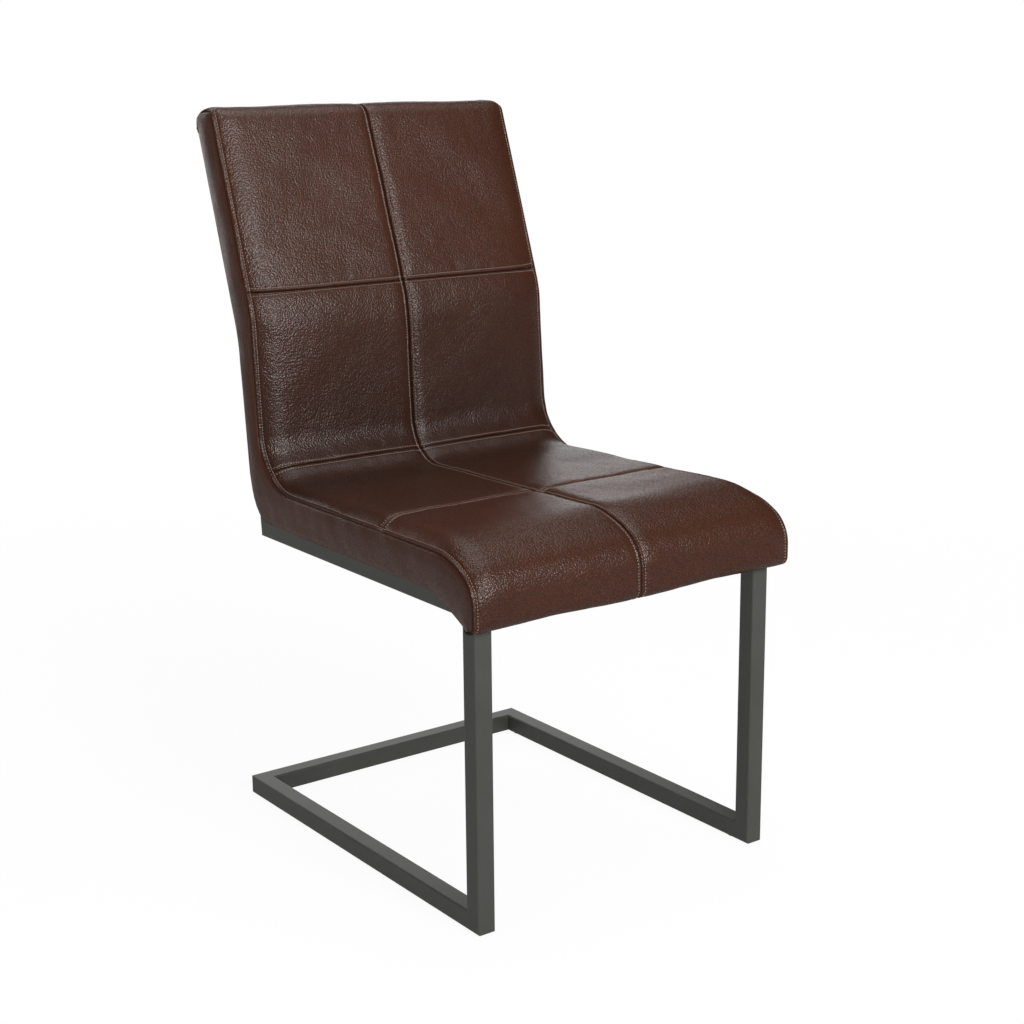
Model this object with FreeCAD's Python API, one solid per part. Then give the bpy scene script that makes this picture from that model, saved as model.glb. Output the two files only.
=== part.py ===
import FreeCAD, Part
import math
import os

# A cantilever dining chair in millimetres: a welded square tube frame that carries a padded
# seat and back in sewn leather. While it is drawn, x = 0 is the middle plane, y = 0 is the
# front face of the legs with +y towards the back, and z = 0 is the floor.
# At the end everything moves along y so that the origin is under the middle of the chair.

# Welded frame
frame_width = 460.0
floor_frame_depth = 560.0
tube_side = 25.0
tube_wall = 2.0
tube_corner = 2.5
floor_corner_radius = 5.0
seat_rail_bottom = 392.0
post_foot_y = 486.5
post_lower_lean = 5.5
post_bend_height = 660.0
post_upper_lean = 18.5
post_top_height = 900.0
rear_crossbar_y = 452.0
back_bar_depth = 12.0
back_bar_height = 30.0
back_bar_wall = 1.5
lumbar_bar_height = 620.0
top_bar_height = 876.0

# Glides under the floor rails
glide_thickness = 2.0
glide_diameter = 18.0
glide_stem_diameter = 7.6
glide_stem_length = 9.0
glide_inset = 38.0

# Moulded boards
seat_board_thickness = 12.0
seat_board_margin = 3.0
seat_board_corner = 30.0
back_board_thickness = 8.0
back_board_bottom = 452.0
back_board_top = 892.0
back_board_bend = 120.0
back_board_corner = 25.0
vent_diameter = 22.0
vent_spacing = 95.0

# Screws and the flanged nuts in the boards
screw_diameter = 6.0
screw_head_diameter = 12.0
screw_head_height = 3.0
screw_hole = 6.6
screw_spacing = 150.0
screw_overrun = 1.0
nut_barrel_diameter = 8.0
nut_flange_diameter = 19.0
nut_flange_thickness = 1.5

# Clearances
fit_gap = 0.3
seam_gap = 0.6
hole_gap = 0.2

# Cushion width: half widths at the nose and at the rear of the back
nose_beside_frame = 16.0
rear_beside_frame = 5.5
nose_half_width = frame_width / 2 + nose_beside_frame
rear_half_width = frame_width / 2 + rear_beside_frame

# Cushion profile: seat
leather = 2.5
nose_overhang = 20.5
nose_crown = 3.0
nose_bend_drop = 30.0
nose_crown_bend_drop = 37.0
nose_top_y = 30.0
front_hem_drop = 35.0
front_return = 17.0
side_hem_drop = 4.0
seat_side_front = 49.5
seat_side_rear = 46.5
seat_crown_front = 19.0
seat_crown_rear = 12.5
seat_seam_y = 184.0
seat_corner_y = 434.0

# Cushion profile: back
back_side_rise = 47.0
back_side_forward = 12.0
lumbar_forward = 20.0
lumbar_rise = 30.0
lumbar_crown = 17.5
mid_seam_rise = 60.0
top_rise = 41.0
top_crown = 14.0
top_forward = 11.8
top_rear_overhang = 29.2
rear_panel_top_drop = 19.0
rear_space = 0.6
rear_hem_rise = 30.0
rear_apron_corner = 12.0

# Rounding of the profile's corners on the side seam and at full crown
front_hem_radii = (12.0, 16.0)
nose_radii = (46.0, 48.0)
nose_top_radii = (110.0, 150.0)
inner_corner_radii = (74.0, 54.0)
lumbar_radii = (150.0, 170.0)
top_front_radii = (15.0, 27.0)
top_rear_radii = (12.0, 18.0)
rear_bend_radius = 220.0
rear_hem_radius = 38.0
side_hem_bend_y = 84.0
side_hem_radius = 60.0
nose_hem_y = 0.0
nose_hem_radius = 30.0
panel_end_radius = 1.8

# Edge of the crown: a low band as wide as the topstitched fold, then the swell beside it.
# The lumbar bend has a wide soft bow instead. The middle seam draws the crown down.
band_width = 6.5
band_share = 0.15
swell_width = 32.0
lumbar_edge_width = 110.0
middle_seam_draw = 0.2
middle_seam_width = 14.0

# Side panels: where they turn in towards the frame, and how near to it their hem comes
turn_in_top = 452.0
turn_in_bottom = 405.0
turn_in_radius = 60.0
turn_in_start_y = -28.0
turn_in_full_y = 84.0
hem_clearance = 3.0

# Values that follow from the sizes above
half_tube = tube_side / 2
tube_x = frame_width / 2 - half_tube
inner_x = frame_width / 2 - tube_side
floor_z = glide_thickness + half_tube
rail_z = seat_rail_bottom + half_tube
rail_top = seat_rail_bottom + tube_side
board_top = rail_top + seat_board_thickness


def vector(x, y, z):
    return FreeCAD.Vector(x, y, z)


def leaning(start, lean, height):
    """Point at a height on the line that leans back from a start point."""
    return start[0] + (height - start[1]) * math.tan(math.radians(lean)), height


post_foot = (post_foot_y, rail_z)
post_bend = leaning(post_foot, post_lower_lean, post_bend_height)
post_top = leaning(post_bend, post_upper_lean, post_top_height)


def post_front(height, behind=0.0):
    """The y of the posts' front face at a height, or of a plane some way behind it."""
    if height < post_bend_height:
        base, lean = post_foot, post_lower_lean
    else:
        base, lean = post_bend, post_upper_lean
    centre = leaning(base, lean, height)[0]
    return centre - (half_tube - behind) / math.cos(math.radians(lean))


# Frame

def rounded_rectangle(width, height, radius):
    """Wire of a rectangle with rounded corners, centred in the xy plane."""
    corners = [(-width / 2, -height / 2, radius), (width / 2, -height / 2, radius),
               (width / 2, height / 2, radius), (-width / 2, height / 2, radius)]
    return closed_outline(corners, lambda a, b: vector(a, b, 0))


def hollow_bar(width, height, wall, length):
    """Rectangular tube along z, from z = 0."""
    along = vector(0, 0, length)
    outer = rounded_rectangle(width, height, tube_corner)
    inner = rounded_rectangle(width - 2 * wall, height - 2 * wall, tube_corner - wall)
    return Part.Face(outer).extrude(along).cut(Part.Face(inner).extrude(along))


def block_beyond(point, direction):
    """Large block that starts at a point and fills the side that a direction points to."""
    reach = 4 * tube_side
    block = Part.makeBox(2 * reach, 2 * reach, 2 * reach, vector(-reach, -reach, 0))
    block.Placement = FreeCAD.Placement(point, FreeCAD.Rotation(vector(0, 0, 1), direction))
    return block


def tube_run(before, start, end, after, across):
    """Square tube between two corners of the frame, mitred towards the runs beside it."""
    along = (end - start).normalize()
    overrun = 2 * tube_side
    tube = hollow_bar(tube_side, tube_side, tube_wall, (end - start).Length + 2 * overrun)
    turn = FreeCAD.Rotation(across, along.cross(across), along, "ZXY")
    tube.Placement = FreeCAD.Placement(start - along * overrun, turn)
    into = (start - before).normalize() if before else along
    onward = (after - end).normalize() if after else along
    tube = tube.cut(block_beyond(start, (into + along).negative()))
    return tube.cut(block_beyond(end, onward + along))


def side_frame(side):
    """The mitred tubes of one side of the frame, by name."""
    x = side * tube_x
    foot = vector(x, half_tube, floor_z)
    knee = vector(x, half_tube, rail_z)
    floor_rear = vector(x, floor_frame_depth - half_tube, floor_z)
    floor_across = vector(-x, floor_frame_depth - half_tube, floor_z)
    seat_rear = vector(x, *post_foot)
    bend = vector(x, *post_bend)
    top = vector(x, *post_top)
    across = vector(1, 0, 0)
    floor_rail = tube_run(knee, foot, floor_rear, floor_across, across).common(floor_envelope())
    for y in glide_places():
        stem_hole = Part.makeCylinder(glide_stem_diameter / 2 + hole_gap, floor_z, vector(x, y, 0))
        floor_rail = floor_rail.cut(stem_hole)
    return {
        "front_leg": tube_run(floor_rear, foot, knee, seat_rear, across),
        "floor_rail": floor_rail,
        "seat_rail": tube_run(foot, knee, seat_rear, bend, across),
        "back_post_lower": tube_run(knee, seat_rear, bend, top, across),
        "back_post_upper": tube_run(seat_rear, bend, top, None, across),
    }


def floor_envelope():
    """Block round the floor frame whose rear corners have the frame's outer rounding."""
    block = Part.makeBox(frame_width, floor_frame_depth, 2 * tube_side,
                         vector(-frame_width / 2, 0, 0))
    upright = [e for e in block.Edges
               if abs(e.Vertexes[0].Z - e.Vertexes[1].Z) > tube_side
               and e.Vertexes[0].Y > half_tube]
    return block.makeFillet(floor_corner_radius, upright)


def rear_floor_rail():
    """The floor tube across the rear, mitred into the side rails."""
    y = floor_frame_depth - half_tube
    ends = [vector(-tube_x, y, floor_z), vector(tube_x, y, floor_z)]
    feet = [vector(-tube_x, half_tube, floor_z), vector(tube_x, half_tube, floor_z)]
    rail = tube_run(feet[0], ends[0], ends[1], feet[1], vector(0, 1, 0))
    return rail.common(floor_envelope())


def seat_crossbar(y):
    """Square tube across the frame between the seat rails, bored for the seat screws."""
    bar = hollow_bar(tube_side, tube_side, tube_wall, 2 * inner_x)
    turn = FreeCAD.Rotation(vector(0, 1, 0), vector(0, 0, 1), vector(1, 0, 0), "ZXY")
    bar.Placement = FreeCAD.Placement(vector(-inner_x, y, rail_z), turn)
    for x in screw_places():
        bar = bar.cut(Part.makeCylinder(screw_hole / 2, 3 * tube_side, vector(x, y, 0) +
                                        vector(0, 0, rail_z - tube_side)))
    return bar


def back_lean(height):
    return post_lower_lean if height < post_bend_height else post_upper_lean


def back_frame_placement(x, height, behind):
    """Placement some way behind the posts' front at a height, with z pointing forwards."""
    turn = FreeCAD.Rotation(vector(1, 0, 0), 90 - back_lean(height))
    inwards = turn.multVec(vector(0, 0, -behind))
    return FreeCAD.Placement(vector(x, post_front(height), height) + inwards, turn)


def back_crossbar(height):
    """Flat tube across the posts behind the back board, bored for the back screws."""
    bar = hollow_bar(back_bar_height, back_bar_depth, back_bar_wall, 2 * inner_x)
    turn = FreeCAD.Rotation(vector(0, 1, 0), vector(0, 0, 1), vector(1, 0, 0), "ZXY")
    bar.Placement = FreeCAD.Placement(vector(-inner_x, 0, -back_bar_depth / 2), turn)
    for x in screw_places():
        bar = bar.cut(Part.makeCylinder(screw_hole / 2, 3 * back_bar_depth,
                                        vector(x, 0, -2 * back_bar_depth)))
    bar.Placement = back_frame_placement(0, height, back_board_thickness)
    return bar


# Glides and fasteners

def glide_places():
    return glide_inset, floor_frame_depth - glide_inset


def screw_places():
    return -screw_spacing, 0.0, screw_spacing


def glide(side, y):
    """Round plastic pad with a stem that is pushed into the floor rail."""
    base = vector(side * tube_x, y, 0)
    pad = Part.makeCylinder(glide_diameter / 2, glide_thickness, base)
    rim = [e for e in pad.Edges if e.BoundBox.ZMax < glide_thickness / 2]
    pad = pad.makeFillet(glide_thickness / 3, rim)
    stem = Part.makeCylinder(glide_stem_diameter / 2, glide_thickness + glide_stem_length, base)
    return pad.fuse(stem).removeSplitter()


def screw(length):
    """Pan head screw along z whose head bears at z = 0 and whose shank points up."""
    head = Part.makeCylinder(screw_head_diameter / 2, screw_head_height,
                             vector(0, 0, -screw_head_height))
    rim = [e for e in head.Edges if e.BoundBox.ZMax < -screw_head_height / 2]
    head = head.makeFillet(screw_head_height / 2, rim)
    return head.fuse(Part.makeCylinder(screw_diameter / 2, length)).removeSplitter()


def flanged_nut(board_thickness):
    """Nut whose barrel fills a board's hole and whose flange lies flush in its face, z = 0."""
    barrel = Part.makeCylinder(nut_barrel_diameter / 2, board_thickness,
                               vector(0, 0, -board_thickness))
    flange = Part.makeCylinder(nut_flange_diameter / 2, nut_flange_thickness,
                               vector(0, 0, -nut_flange_thickness))
    bore = Part.makeCylinder(screw_diameter / 2 + hole_gap, 2 * board_thickness,
                             vector(0, 0, -1.5 * board_thickness))
    return barrel.fuse(flange).cut(bore).removeSplitter()


def nut_hole(board_thickness):
    """Stepped hole for a flanged nut, from the board's face at z = 0 downwards."""
    hole = Part.makeCylinder(nut_barrel_diameter / 2 + hole_gap, 2 * board_thickness,
                             vector(0, 0, -1.5 * board_thickness))
    step = Part.makeCylinder(nut_flange_diameter / 2 + hole_gap, 2 * nut_flange_thickness,
                             vector(0, 0, -nut_flange_thickness))
    return hole.fuse(step)


def seat_fastener_placements(height):
    return [FreeCAD.Placement(vector(x, y, height), FreeCAD.Rotation())
            for y in (half_tube, rear_crossbar_y) for x in screw_places()]


def back_fastener_placements(behind):
    return [back_frame_placement(x, height, behind)
            for height in (lumbar_bar_height, top_bar_height) for x in screw_places()]


def placed(shape, placements):
    """Copies of a shape, one at each placement."""
    copies = []
    for placement in placements:
        copy = shape.copy()
        copy.Placement = placement
        copies.append(copy)
    return copies


def fasteners():
    """Screws and nuts of the seat board and of the back board, as groups."""
    seat_length = tube_side + seat_board_thickness - screw_overrun
    back_length = back_bar_depth + back_board_thickness - screw_overrun
    back_rear = back_board_thickness + back_bar_depth
    groups = {
        "seat_screws": placed(screw(seat_length), seat_fastener_placements(seat_rail_bottom)),
        "seat_nuts": placed(flanged_nut(seat_board_thickness), seat_fastener_placements(board_top)),
        "back_screws": placed(screw(back_length), back_fastener_placements(back_rear)),
        "back_nuts": placed(flanged_nut(back_board_thickness), back_fastener_placements(0)),
    }
    return {name: Part.makeCompound(solids) for name, solids in groups.items()}


# Boards

def seat_board():
    """Plywood seat board on the rails, with vent holes and the nuts' stepped holes."""
    front = seat_board_margin
    rear = post_front(rail_top) - seat_board_margin
    half = frame_width / 2 - seat_board_margin
    corners = [(-half, front, seat_board_corner), (half, front, seat_board_corner),
               (half, rear, seat_board_margin), (-half, rear, seat_board_margin)]
    wire = closed_outline(corners, lambda a, b: vector(a, b, rail_top))
    board = Part.Face(wire).extrude(vector(0, 0, seat_board_thickness))
    middle = (front + rear) / 2
    for row in (-1, 0, 1):
        for column in (-1.5, -0.5, 0.5, 1.5):
            place = vector(column * vent_spacing, middle + row * vent_spacing, rail_top)
            board = board.cut(Part.makeCylinder(vent_diameter / 2, seat_board_thickness, place))
    for hole in placed(nut_hole(seat_board_thickness), seat_fastener_placements(board_top)):
        board = board.cut(hole)
    return board


def back_board():
    """Moulded plywood board between the posts, flush with their front faces."""
    bottom, top = back_board_bottom, back_board_top
    heights = [(bottom, 0), (post_bend_height, back_board_bend), (top, 0)]
    face_line = [(post_front(height), height, radius) for height, radius in heights]
    rear_line = shifted(face_line, -back_board_thickness)
    half = inner_x - seam_gap
    wire = closed_outline(face_line + rear_line[::-1], lambda a, b: vector(-half, a, b))
    board = Part.Face(wire).extrude(vector(2 * half, 0, 0))
    through = [e for e in board.Edges
               if abs(e.Length - back_board_thickness) < 0.01 and len(e.Vertexes) == 2]
    board = board.makeFillet(back_board_corner, through)
    for hole in placed(nut_hole(back_board_thickness), back_fastener_placements(0)):
        board = board.cut(hole)
    return board


# Outlines with rounded corners: each corner is (first, second, radius)

def heading(start, end):
    return math.atan2(end[1] - start[1], end[0] - start[0])


def turn_between(first, second):
    return (second - first + math.pi) % (2 * math.pi) - math.pi


def shifted(path, distance):
    """An open path moved to its left by a distance, with its radii kept concentric."""
    moved = []
    for i, (y, z, radius) in enumerate(path):
        out = heading(path[i], path[i + 1]) if i + 1 < len(path) else heading(path[i - 1], path[i])
        into = heading(path[i - 1], path[i]) if i else out
        turn = turn_between(into, out)
        step = distance / math.cos(turn / 2)
        middle = into + turn / 2
        kept = radius - distance * math.copysign(1, turn) if radius else 0
        moved.append((y - step * math.sin(middle), z + step * math.cos(middle), kept))
    return moved


def closed_outline(corners, place):
    """Closed wire of lines and arcs through rounded corners, put in space by a function."""
    ends = []
    for i, (y, z, radius) in enumerate(corners):
        into = heading(corners[i - 1], corners[i])
        out = heading(corners[i], corners[(i + 1) % len(corners)])
        turn = turn_between(into, out)
        reach = radius * math.tan(abs(turn) / 2)
        first = (y - reach * math.cos(into), z - reach * math.sin(into))
        last = (y + reach * math.cos(out), z + reach * math.sin(out))
        bulge = radius * (1 / math.cos(turn / 2) - 1)
        side = into + turn / 2 + math.copysign(math.pi / 2, turn)
        middle = (y + bulge * math.cos(side), z + bulge * math.sin(side))
        ends.append((first, middle, last, radius > 0))
    edges = []
    for i, (first, middle, last, is_round) in enumerate(ends):
        if is_round:
            edges.append(Part.Arc(place(*first), place(*middle), place(*last)).toShape())
        following = ends[(i + 1) % len(ends)][0]
        edges.append(Part.makeLine(place(*last), place(*following)))
    return Part.Wire(edges)


# Cushion profile in the plane of y and z, from the front hem up, back and over the top

def seat_height_between(y, front, rear):
    """Height on the straight line of the seat, from the nose to the inner corner."""
    share = (y - nose_top_y) / (seat_corner_y - nose_top_y)
    return rail_top + front + share * (rear - front)


def side_seam_line():
    """The line where the seat and back panels meet the side panels."""
    corner_z = rail_top + seat_side_rear
    step = back_side_rise
    seam_z = seat_height_between(seat_seam_y, seat_side_front, seat_side_rear)
    lumbar = (post_bend[0] - lumbar_forward, post_bend[1] + lumbar_rise, lumbar_radii[0])
    top = (post_top[0] - top_forward, post_top[1] + top_rise, top_front_radii[0])
    return [
        (front_return - nose_overhang, rail_top - front_hem_drop, 0),
        (-nose_overhang, rail_top - front_hem_drop, front_hem_radii[0]),
        (-nose_overhang, rail_top + seat_side_front - nose_bend_drop, nose_radii[0]),
        (nose_top_y, rail_top + seat_side_front, nose_top_radii[0]),
        (seat_seam_y, seam_z, 0),
        (seat_corner_y, corner_z, inner_corner_radii[0]),
        (seat_corner_y + step / 2, corner_z + step / 2, 0),
        (seat_corner_y + step, corner_z + step, inner_corner_radii[0]),
        lumbar,
        between(lumbar, top, mid_seam_rise - lumbar_rise),
        top,
        (post_top[0] + top_rear_overhang, top[1], top_rear_radii[0]),
        rear_point(post_top_height + top_rise - rear_panel_top_drop),
    ]


def crown_line():
    """The same line where the padding is fullest, away from the seams."""
    seam = side_seam_line()
    corner_z = rail_top + seat_side_rear + seat_crown_rear
    step = back_side_rise - back_side_forward
    corner_y = seat_corner_y - seat_crown_rear / 4
    seam_z = seat_height_between(seat_seam_y, seat_side_front + seat_crown_front,
                                 seat_side_rear + seat_crown_rear)
    lumbar_y, lumbar_z = seam[8][0] - lumbar_crown, seam[8][1]
    top_y, top_z = seam[10][0] - top_crown * 2 / 3, seam[10][1] + top_crown
    lumbar = (lumbar_y, lumbar_z, lumbar_radii[1])
    top = (top_y, top_z, top_front_radii[1])
    lean = (seam[11][0] - seam[12][0]) / (seam[11][1] - seam[12][1])
    return [
        seam[0],
        (-nose_overhang - nose_crown, seam[0][1], front_hem_radii[1]),
        (-nose_overhang - nose_crown, rail_top + seat_side_front + seat_crown_front
         - nose_crown_bend_drop, nose_radii[1]),
        (nose_top_y + seat_crown_front / 2, rail_top + seat_side_front + seat_crown_front,
         nose_top_radii[1]),
        (seat_seam_y, seam_z, 0),
        (corner_y, corner_z, inner_corner_radii[1]),
        (corner_y + step / 2, corner_z + step / 2, 0),
        (corner_y + step, corner_z + step, inner_corner_radii[1]),
        lumbar,
        between(lumbar, top, mid_seam_rise - lumbar_rise),
        top,
        (seam[11][0] + lean * top_crown, top_z, top_rear_radii[1]),
        seam[12],
    ]


def between(start, end, rise):
    """Plain point on the line from start to end, at a rise above the start."""
    share = rise / (end[1] - start[1])
    return start[0] + share * (end[0] - start[0]), start[1] + rise, 0


def back_line(distance):
    """Line of the posts from foot to top, moved behind their middle by a distance."""
    return shifted([(*post_foot, 0), (*post_bend, rear_bend_radius), (*post_top, 0)], -distance)


def rear_point(height, depth=0.0):
    """Point of the rear face of the back at a height, or of a plane inside it."""
    foot, bend, top = back_line(half_tube + rear_space + leather - depth)
    start, end = (foot, bend) if height < bend[1] else (bend, top)
    share = (height - start[1]) / (end[1] - start[1])
    return start[0] + share * (end[0] - start[0]), height, 0


def rear_line():
    """Rear face of the back, from the panel seam at the top down to the rear hem."""
    bend = back_line(half_tube + rear_space + leather)[1]
    return [rear_point(post_top_height + top_rise - rear_panel_top_drop), bend,
            rear_point(rail_top - side_hem_drop)]


def profile(station, depth=0.0):
    """The seat and back line at a place across the cushion, moved inwards by a depth."""
    inset, draw = station
    path = []
    for i, (seam, full) in enumerate(zip(side_seam_line(), crown_line())):
        share = draw * (lumbar_crown_share(inset) if i in (8, 9) else edge_crown_share(inset))
        path.append(tuple(a + share * (b - a) for a, b in zip(seam, full)))
    return shifted(path, -depth)


# Cushion solids: sections side by side across the chair, lofted

def half_width(y):
    """Half of the cushion's width, which narrows evenly from the nose to the rear."""
    rear_y = post_top[0] + top_rear_overhang
    share = (y + nose_overhang) / (rear_y + nose_overhang)
    return nose_half_width + share * (rear_half_width - nose_half_width)


def edge_crown_share(inset):
    """Share of the crown at a distance in from the side: a low band, then the swell."""
    if inset < band_width:
        return band_share * (1 - (1 - inset / band_width) ** 2)
    rest = max(0.0, 1 - (inset - band_width) / swell_width)
    return band_share + (1 - band_share) * (1 - rest ** 2.2)


def lumbar_crown_share(inset):
    """The same at the lumbar bend, where the crown is a soft bow."""
    rest = max(0.0, 1 - inset / lumbar_edge_width)
    return 1 - rest * rest


def crown_stations(first_inset):
    """Places across the half cushion: how to find x from y, the inset and the seam's draw."""
    shares = (0.12, 0.28, 0.5, 0.8, 1.2, 1.9)
    swell = [band_width + share * swell_width for share in shares]
    insets = [first_inset, band_width / 2 + first_inset / 2, band_width] + swell
    side = [(lambda y, inset=inset: half_width(y) - inset, (inset, 1.0)) for inset in insets]
    far = lumbar_edge_width
    middle = [(rear_half_width - far, 1.0), (middle_seam_width * 7, 1.0),
              (middle_seam_width * 5, 1.0), (middle_seam_width * 3, 1.0),
              (middle_seam_width * 2, 1.0),
              (middle_seam_width, 1 - middle_seam_draw * 0.15),
              (middle_seam_width * 0.4, 1 - middle_seam_draw * 0.6),
              (seam_gap / 2, 1 - middle_seam_draw)]
    return side + [(lambda y, x=x: x, (far, draw)) for x, draw in middle]


def cushion_loft(section, first_inset):
    """Loft across one half of the cushion; section gives the corners at a station."""
    wires = []
    for x_at, station in crown_stations(first_inset):
        wires.append(closed_outline(section(station), lambda y, z: vector(x_at(y), y, z)))
    return Part.makeLoft(wires, True, False)


def panel_section(first, last, station):
    """Section of a leather panel between two corners of the profile, its ends rounded."""
    outer = profile(station)[first:last + 1]
    inner = profile(station, leather)[first:last + 1]
    outer[0] = along_path(outer[0], outer[1], seam_gap / 2) + (panel_end_radius,)
    outer[-1] = along_path(outer[-1], outer[-2], seam_gap / 2) + (panel_end_radius,)
    inner[0] = along_path(inner[0], inner[1], seam_gap / 2) + (0,)
    inner[-1] = along_path(inner[-1], inner[-2], seam_gap / 2) + (0,)
    return outer + inner[::-1]


def along_path(start, towards, distance):
    """Point at a distance from one point towards another."""
    angle = heading(start, towards)
    return start[0] + distance * math.cos(angle), start[1] + distance * math.sin(angle)


def panels(side):
    """The four leather panels of one half, from the front hem to the top of the rear."""
    rows = {"seat_front_panel": (0, 4), "seat_rear_panel": (4, 6),
            "back_lower_panel": (6, 9), "back_upper_panel": (9, 12)}
    return {name: mirrored(cushion_loft(lambda at: panel_section(first, last, at), 0.0), side)
            for name, (first, last) in rows.items()}


def mirrored(shape, side):
    return shape if side > 0 else shape.mirror(vector(0, 0, 0), vector(1, 0, 0))


def seat_foam_section(station):
    """Seat padding on the board, with a nose in front of the front crossbar."""
    outer = profile(station, leather + fit_gap)[:7]
    rear_y = post_front(rail_top) - seat_board_margin
    seam = outer[-1]
    base_z = board_top + fit_gap
    return outer + [
        (rear_y, seam[1] - (rear_y - seam[0]), 0),
        (rear_y, base_z, 0),
        (-fit_gap, base_z, 0),
        (-fit_gap, outer[0][1], 0),
    ]


def back_foam_section(station):
    """Back padding in front of the posts and the back board, and over their tops."""
    outer = profile(station, leather + fit_gap)[6:]
    lid_z = post_top_height + half_tube * math.sin(math.radians(post_upper_lean)) + 2 * fit_gap
    start = along_path(outer[0], outer[1], seam_gap)
    slope = math.tan(math.radians(post_lower_lean))
    foot_z = (start[0] + start[1] - post_front(0.0, -fit_gap)) / (1 + slope)
    return [start + (0,)] + outer[1:] + [
        rear_point(lid_z, leather + fit_gap),
        (post_front(lid_z, -fit_gap), lid_z, 0),
        (post_front(post_bend_height, -fit_gap), post_bend_height, 0),
        (post_front(foot_z, -fit_gap), foot_z, 0),
    ]


def whole_foam(section):
    """Both halves of a foam pad, joined at the middle and trimmed to the side panels."""
    half = cushion_loft(section, leather + fit_gap)
    middle = closed_outline(section((lumbar_edge_width, 1 - middle_seam_draw)),
                            lambda y, z: vector(0, y, z))
    bridge = Part.Face(middle).extrude(vector(seam_gap / 2, 0, 0))
    right = half.fuse(bridge).common(inside_side_panels())
    return right.fuse(mirrored(right, -1)).removeSplitter()


def side_surface_loft(section):
    """Loft from the nose to the rear between sections that follow the side panels."""
    wires = []
    for y, share in ((turn_in_start_y, 0.02), (nose_top_y, 0.55), (turn_in_full_y, 1.0),
                     (post_top[0] + 2 * top_rear_overhang, 1.0)):
        turn_in = share * (half_width(y) - frame_width / 2 - hem_clearance)
        corners = section(half_width(y), turn_in)
        wires.append(closed_outline(corners, lambda x, z, y=y: vector(x, y, z)))
    return Part.makeLoft(wires, True, True)


def side_line(width, turn_in):
    """Outer line of a side panel seen from the front: upright, then turned in."""
    bend = (width, turn_in_top, turn_in_radius)
    low = beyond(bend, (width - turn_in, turn_in_bottom), 2 * tube_side)
    return [(width, 2 * post_bend_height, 0), bend, low]


def inside_side_panels():
    """Block that fills the +x half of the space between the side panels."""
    def section(width, turn_in):
        line = shifted(side_line(width, turn_in), -leather - fit_gap / 2)
        return line + [(-fit_gap, line[2][1], 0), (-fit_gap, line[0][1], 0)]
    return side_surface_loft(section)


def side_to_side(corners, inset):
    """Solid of one section from one side of the cushion to the other, a little in."""
    wires = [closed_outline(corners, lambda y, z: vector(side * (half_width(y) - inset), y, z))
             for side in (-1, 1)]
    return Part.makeLoft(wires, True, True)


def rear_panel():
    """Leather over the rear of the back, with an apron that drops between the posts."""
    outer = rear_line()
    outer[0] = along_path(outer[0], outer[1], seam_gap / 2) + (0,)
    panel = side_to_side(outer + shifted(outer, -leather)[::-1], 0.0)
    apron_half = inner_x - rear_space
    low, high = outer[-1][1] - leather, rail_top + rear_hem_rise
    for side in (-1, 1):
        corners = [(side * apron_half, low, 0), (side * frame_width, low, 0),
                   (side * frame_width, high, 0), (side * apron_half, high, rear_apron_corner)]
        wire = closed_outline(corners, lambda x, z: vector(x, 0, z))
        panel = panel.cut(Part.Face(wire).extrude(vector(0, 2 * floor_frame_depth, 0)))
    return panel


def side_panel(side):
    """Leather side panel from the nose to the top of the back, in one piece."""
    depth = leather + fit_gap / 2
    front = profile((0.0, 1.0), depth)
    bend = back_line(half_tube + rear_space - fit_gap / 2)[1]
    low_hem = front[0][1]
    high_hem = rail_top - side_hem_drop
    rear_low = rear_point(high_hem, depth)
    corners = [front[1], front[2], front[3], front[5], front[7], front[8],
               front[10], front[11], bend,
               (rear_low[0], high_hem, rear_hem_radius),
               (side_hem_bend_y, high_hem, side_hem_radius),
               (nose_hem_y, low_hem, nose_hem_radius)]
    wire = closed_outline(corners, lambda y, z: vector(frame_width / 2, y, z))
    outline = Part.Face(wire).extrude(vector(2 * tube_side, 0, 0))

    def section(width, turn_in):
        line = side_line(width, turn_in)
        return line + shifted(line, -leather)[::-1]
    return mirrored(outline.common(side_surface_loft(section)), side)


def beyond(start, end, distance):
    """Point past the end of a line, by a distance in its first and second values."""
    angle = heading(start, end)
    return end[0] + distance * math.cos(angle), end[1] + distance * math.sin(angle), 0


def dust_cover():
    """Woven cover stapled under the seat board, between the crossbars."""
    front = tube_side + fit_gap
    rear = rear_crossbar_y - half_tube - fit_gap
    half = inner_x - fit_gap
    thickness = leather / 2
    return Part.makeBox(2 * half, rear - front, thickness,
                        vector(-half, front, rail_top - thickness - fit_gap))


# Assembly

def chair():
    """All pieces by node name, in the drawing position."""
    pieces = {
        "floor_rail_rear": rear_floor_rail(),
        "seat_crossbar_front": seat_crossbar(half_tube),
        "seat_crossbar_rear": seat_crossbar(rear_crossbar_y),
        "back_crossbar_lumbar": back_crossbar(lumbar_bar_height),
        "back_crossbar_top": back_crossbar(top_bar_height),
        "seat_board": seat_board(),
        "back_board": back_board(),
        "seat_foam": whole_foam(seat_foam_section),
        "back_foam": whole_foam(back_foam_section),
        "rear_panel": rear_panel(),
        "dust_cover": dust_cover(),
    }
    pieces.update(fasteners())
    for word, side in (("left", 1), ("right", -1)):
        for name, shape in side_frame(side).items():
            pieces[name + "_" + word] = shape
        for name, shape in panels(side).items():
            pieces[name + "_" + word] = shape
        pieces["side_panel_" + word] = side_panel(side)
        for place, y in zip(("front", "rear"), glide_places()):
            pieces["glide_" + place + "_" + word] = glide(side, y)
    return pieces


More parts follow.
